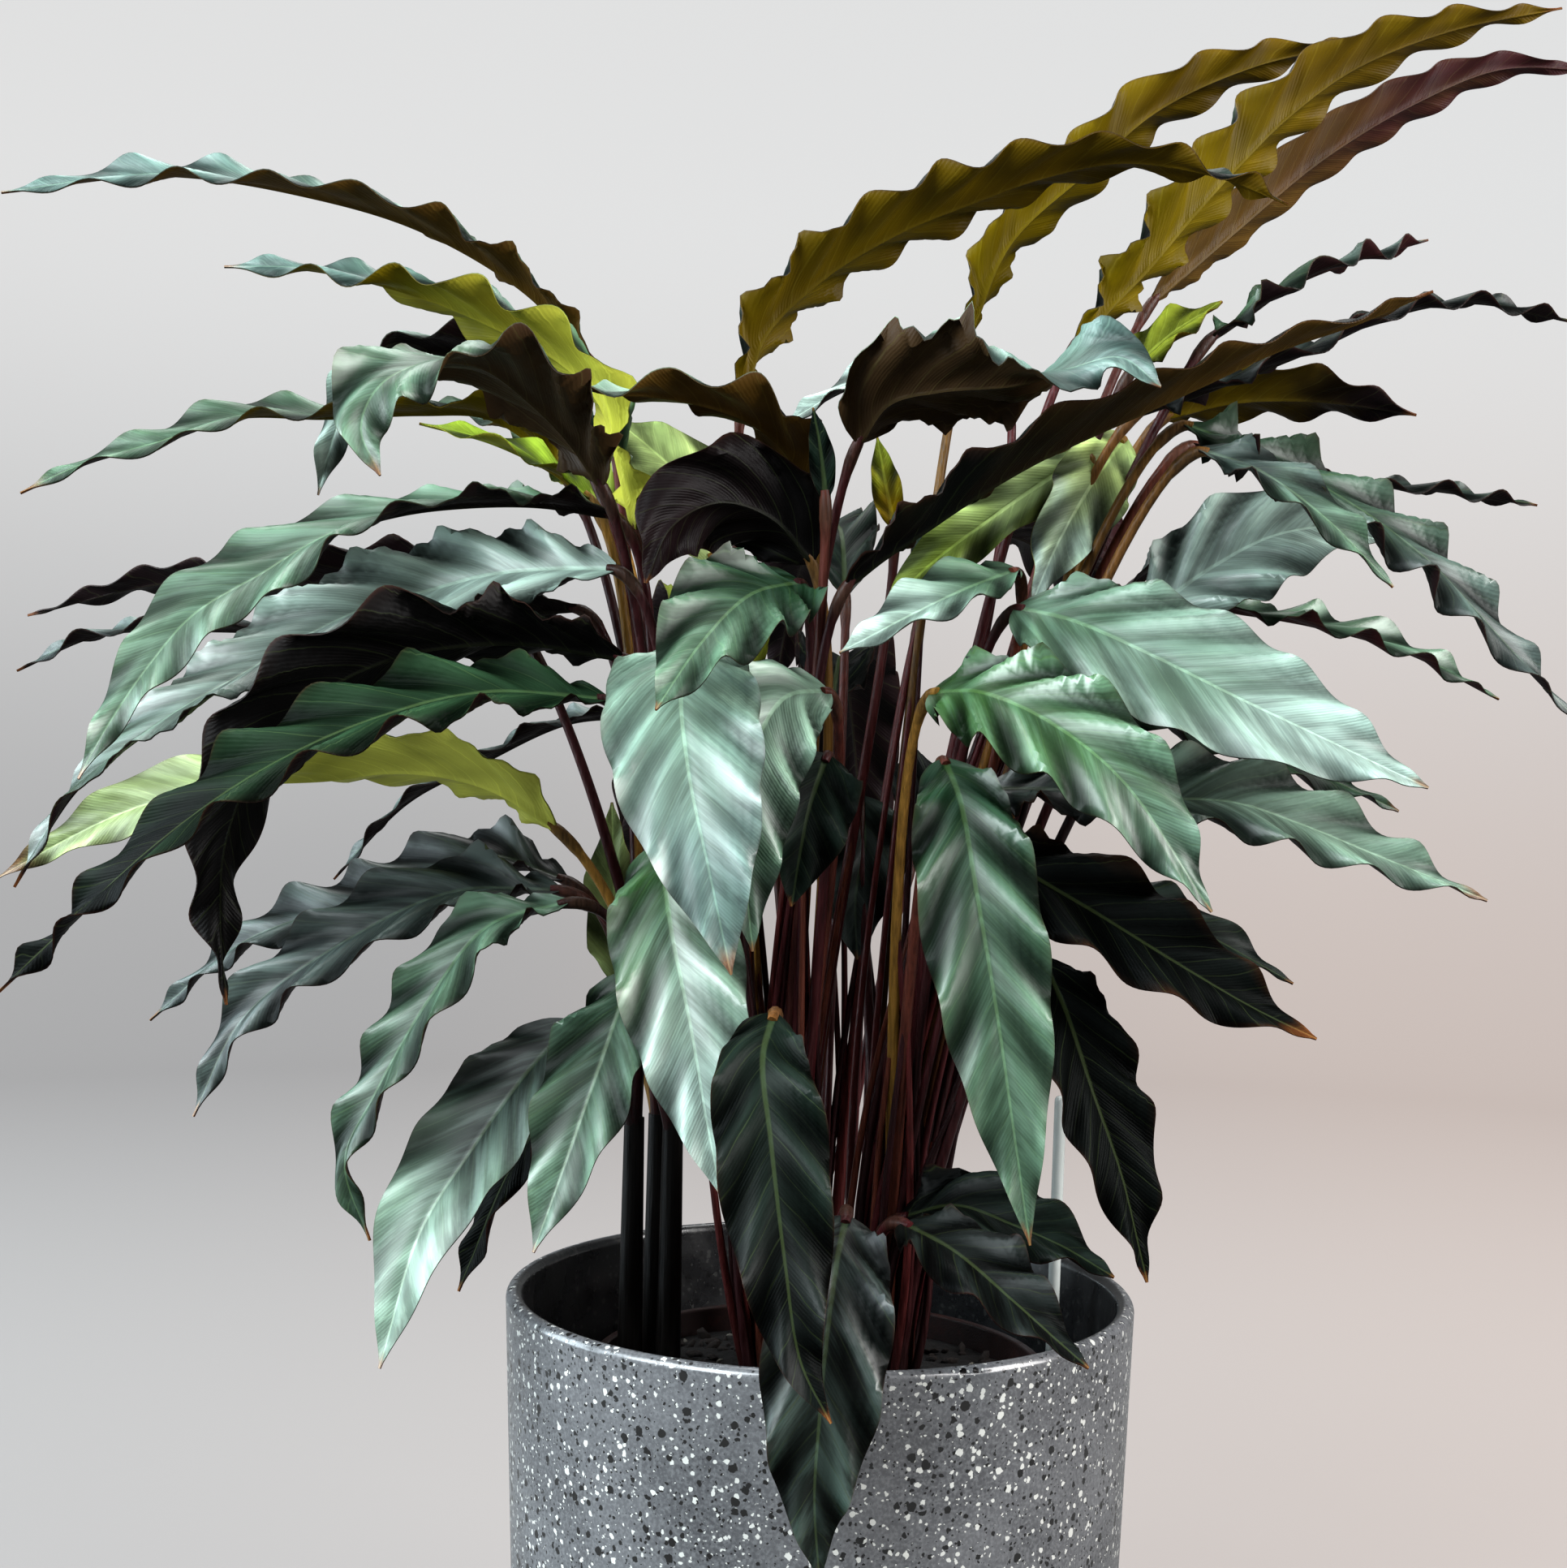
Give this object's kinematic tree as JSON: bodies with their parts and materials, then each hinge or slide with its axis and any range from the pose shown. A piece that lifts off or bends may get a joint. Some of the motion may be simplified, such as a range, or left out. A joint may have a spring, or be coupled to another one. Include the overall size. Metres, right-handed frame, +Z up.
{
  "type": "potted calathea plant",
  "caption": "Bushy calathea rufibarba with long narrow wavy-edged leaves on thin red-brown stalks, in a plastic nursery pot inside a round speckled grey glazed planter.",
  "frame": {"origin": "centre of the planter's flat foot, on the floor", "axes": "+Z up; -Y towards the front, the side that the fullest leaves hang over; +X to the right seen from the front"},
  "size_m": [0.6314, 0.3854, 0.671],
  "materials": {
    "planter_glaze": "gloss",
    "nursery_plastic": "satin",
    "potting_soil": "matte",
    "clear_plastic": "gloss",
    "stalk": "satin",
    "leaf_green": "satin",
    "leaf_dark": "satin",
    "leaf_lime": "satin",
    "leaf_olive": "satin"
  },
  "bodies": {
    "root": {"outer_pot": "planter_glaze", "nursery_pot": "nursery_plastic", "soil": "potting_soil", "clear_rod": "clear_plastic", "stems_left": "stalk", "stems_centre": "stalk", "stems_right": "stalk", "stems_back": "stalk", "leaf_left_1": "leaf_dark", "leaf_left_2": "leaf_dark", "leaf_left_3": "leaf_olive", "leaf_left_4": "leaf_green", "leaf_left_5": "leaf_dark", "leaf_left_6": "leaf_green", "leaf_left_7": "leaf_green", "leaf_left_8": "leaf_dark", "leaf_left_9": "leaf_dark", "leaf_left_10": "leaf_dark", "leaf_left_11": "leaf_green", "leaf_left_12": "leaf_lime", "leaf_left_13": "leaf_dark", "leaf_left_14": "leaf_dark", "leaf_left_15": "leaf_dark", "leaf_left_16": "leaf_green", "leaf_top_1": "leaf_olive", "leaf_top_2": "leaf_olive", "leaf_top_3": "leaf_dark", "leaf_top_4": "leaf_dark", "leaf_front_1": "leaf_green", "leaf_front_2": "leaf_green", "leaf_front_3": "leaf_green", "leaf_front_4": "leaf_green", "leaf_front_5": "leaf_green", "leaf_front_6": "leaf_green", "leaf_front_7": "leaf_dark", "leaf_front_8": "leaf_green", "leaf_front_9": "leaf_green", "leaf_front_10": "leaf_dark", "leaf_front_11": "leaf_dark", "leaf_front_12": "leaf_green", "leaf_front_13": "leaf_green", "leaf_front_14": "leaf_green", "leaf_front_15": "leaf_green", "leaf_front_16": "leaf_dark", "leaf_front_17": "leaf_dark", "leaf_front_18": "leaf_dark", "leaf_front_19": "leaf_dark", "leaf_right_1": "leaf_olive", "leaf_right_2": "leaf_olive", "leaf_right_3": "leaf_olive", "leaf_right_4": "leaf_olive", "leaf_right_5": "leaf_dark", "leaf_right_6": "leaf_dark", "leaf_right_7": "leaf_green", "leaf_right_8": "leaf_green", "leaf_right_9": "leaf_green", "leaf_right_10": "leaf_dark", "leaf_right_11": "leaf_green", "leaf_right_12": "leaf_green"}
  },
  "joints": []
}
